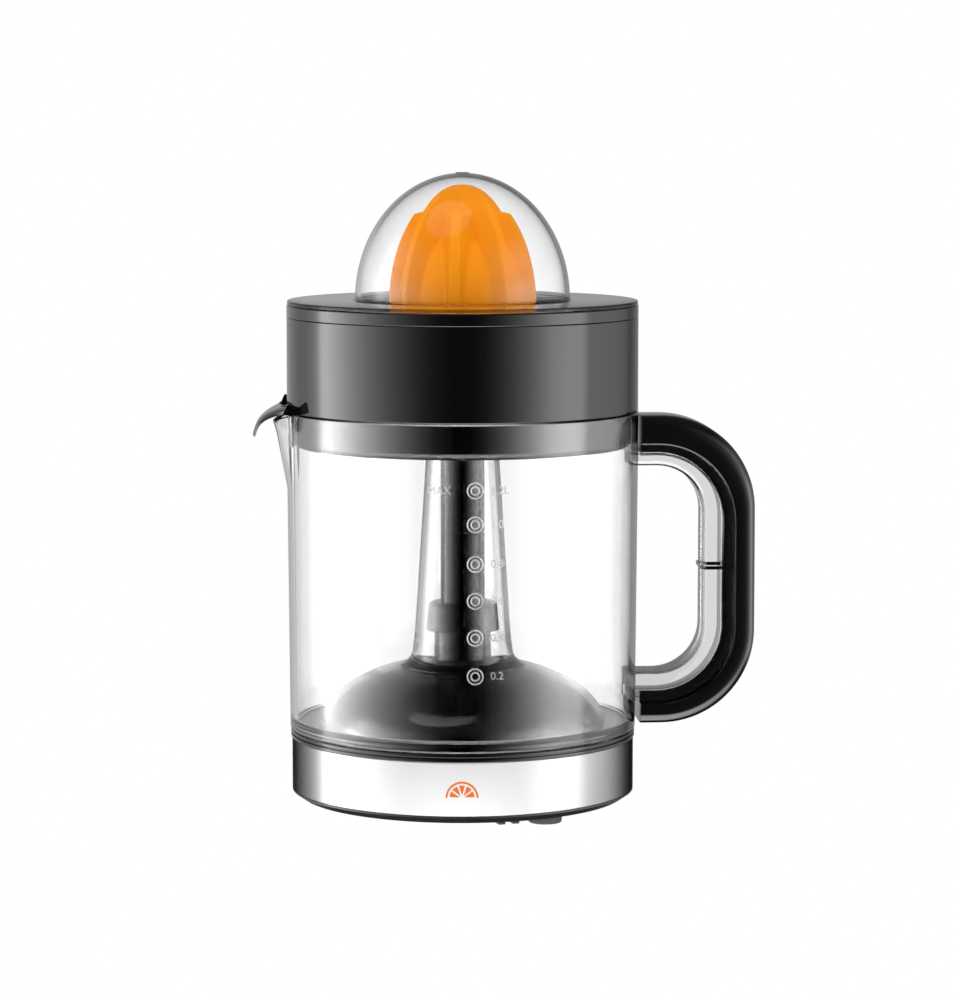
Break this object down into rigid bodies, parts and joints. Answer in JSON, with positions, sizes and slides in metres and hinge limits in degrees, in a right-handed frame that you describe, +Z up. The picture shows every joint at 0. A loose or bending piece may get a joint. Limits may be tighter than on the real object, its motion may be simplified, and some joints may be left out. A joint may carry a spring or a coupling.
{
  "type": "citrus press juicer",
  "caption": "Electric citrus press: low motor base with a brushed band, clear spouted jug with a handle, dark collector and strainer, ribbed orange cone under a clear cover.",
  "frame": {"origin": "middle of the outline that the juicer covers on the worktop, on the plane its feet stand on", "axes": "+Z up along the jug's axis, +X towards the handle, -X towards the spout, -Y towards the capacity scale"},
  "size_m": [0.2012, 0.1414, 0.254],
  "materials": {
    "black_plastic": "gloss",
    "clear_plastic": "clear gloss",
    "orange_plastic": "gloss",
    "brushed_steel": "brushed round the base",
    "rubber": "matte",
    "zinc_steel": "satin",
    "brass": "satin",
    "copper": "enamelled wire",
    "lamination_steel": "varnished stack",
    "gear_plastic": "satin",
    "lead_insulation": "matte"
  },
  "bodies": {
    "base": {"base_housing": "black_plastic", "steel_band": "brushed_steel", "bottom_plate": "black_plastic", "rubber_feet": "rubber", "cord_clip": "black_plastic", "cord_gland": "rubber", "base_screws": "zinc_steel", "lower_plate": "zinc_steel", "upper_plate": "zinc_steel", "plate_pillars": "zinc_steel", "gearbox_screws": "zinc_steel", "shaft_bushes": "brass", "shaft_seal": "rubber", "gear_pin_1": "zinc_steel", "gear_pin_2": "zinc_steel", "motor_core": "lamination_steel", "coil_bobbin": "gear_plastic", "coil_winding": "copper", "motor_bracket": "zinc_steel", "rotor_bushes": "brass", "motor_screws": "zinc_steel", "push_switch": "gear_plastic", "terminal_block": "gear_plastic", "inner_leads": "lead_insulation"},
    "rotor": {"motor_rotor": "lamination_steel", "motor_pinion": "brass"},
    "idler_1": {"idler_gear_1": "gear_plastic"},
    "idler_2": {"idler_gear_2": "gear_plastic"},
    "drive": {"drive_gear": "gear_plastic", "press_spring": "zinc_steel"},
    "spindle": {"output_shaft": "zinc_steel", "spring_collar": "zinc_steel", "retaining_clip": "zinc_steel", "drive_spindle": "black_plastic"},
    "switch": {"switch_plunger": "gear_plastic"},
    "jug_body": {"jug": "clear_plastic", "handle_shell": "black_plastic", "handle_clip": "black_plastic"},
    "collector_body": {"collector": "black_plastic"},
    "flap": {"spout_flap": "black_plastic"},
    "strainer_body": {"strainer": "black_plastic"},
    "ring": {"slinger_ring": "black_plastic"},
    "upper_shaft": {"cone_shaft": "black_plastic"},
    "cone": {"reamer_cone": "orange_plastic"},
    "cover": {"dust_cover": "clear_plastic"}
  },
  "joints": [
    {"name": "rotor_spin", "type": "hinge", "parent": "base", "child": "rotor", "pos_m": [0.01313, 0.00928, 0.04], "axis": [0, 0, 1], "continuous": true},
    {"name": "drive_spin", "type": "hinge", "parent": "base", "child": "drive", "pos_m": [-0.01665, 0, 0.04], "axis": [0, 0, 1], "continuous": true},
    {"name": "spindle_press", "type": "slide", "parent": "drive", "child": "spindle", "axis": [0, 0, 1], "range_m": [-0.0025, 0], "stiffness_N_per_m": 1300, "springref_m": 0.006, "deforming": ["press_spring"]},
    {"name": "idler_1_spin", "type": "hinge", "parent": "base", "child": "idler_1", "pos_m": [0.00383, 0.02539, 0.04], "axis": [0, 0, 1], "continuous": true},
    {"name": "idler_2_spin", "type": "hinge", "parent": "base", "child": "idler_2", "pos_m": [-0.01665, 0.029, 0.04], "axis": [0, 0, 1], "continuous": true},
    {"name": "switch_press", "type": "slide", "parent": "base", "child": "switch", "axis": [0, 0, 1], "range_m": [-0.0025, 0]},
    {"name": "jug_lift", "type": "slide", "parent": "base", "child": "jug_body", "axis": [0, 0, 1], "range_m": [0, 0.12]},
    {"name": "collector_lift", "type": "slide", "parent": "jug_body", "child": "collector_body", "axis": [0, 0, 1], "range_m": [0, 0.06]},
    {"name": "strainer_lift", "type": "slide", "parent": "collector_body", "child": "strainer_body", "axis": [0, 0, 1], "range_m": [0, 0.06]},
    {"name": "flap_hinge", "type": "hinge", "parent": "collector_body", "child": "flap", "pos_m": [-0.08725, 0, 0.1612], "axis": [0, 1, 0], "range_deg": [0, 55]},
    {"name": "reamer_spin", "type": "hinge", "parent": "strainer_body", "child": "ring", "pos_m": [-0.01665, 0, 0.04], "axis": [0, 0, 1], "continuous": true},
    {"name": "reamer_press", "type": "slide", "parent": "ring", "child": "upper_shaft", "axis": [0, 0, 1], "range_m": [-0.0025, 0]},
    {"name": "cone_lift", "type": "slide", "parent": "upper_shaft", "child": "cone", "axis": [0, 0, 1], "range_m": [0, 0.06]},
    {"name": "cover_lift", "type": "slide", "parent": "strainer_body", "child": "cover", "axis": [0, 0, 1], "range_m": [0, 0.12]}
  ],
  "couplings": [
    {"joint": "idler_1_spin", "follows": "rotor_spin", "ratio": -0.24},
    {"joint": "idler_2_spin", "follows": "rotor_spin", "ratio": 0.072},
    {"joint": "drive_spin", "follows": "rotor_spin", "ratio": -0.022909},
    {"joint": "reamer_spin", "follows": "rotor_spin", "ratio": -0.022909},
    {"joint": "reamer_press", "follows": "spindle_press", "ratio": 1},
    {"joint": "switch_press", "follows": "spindle_press", "ratio": 1},
    {"joint": "cone_lift", "follows": "cover_lift", "ratio": 0.5}
  ]
}
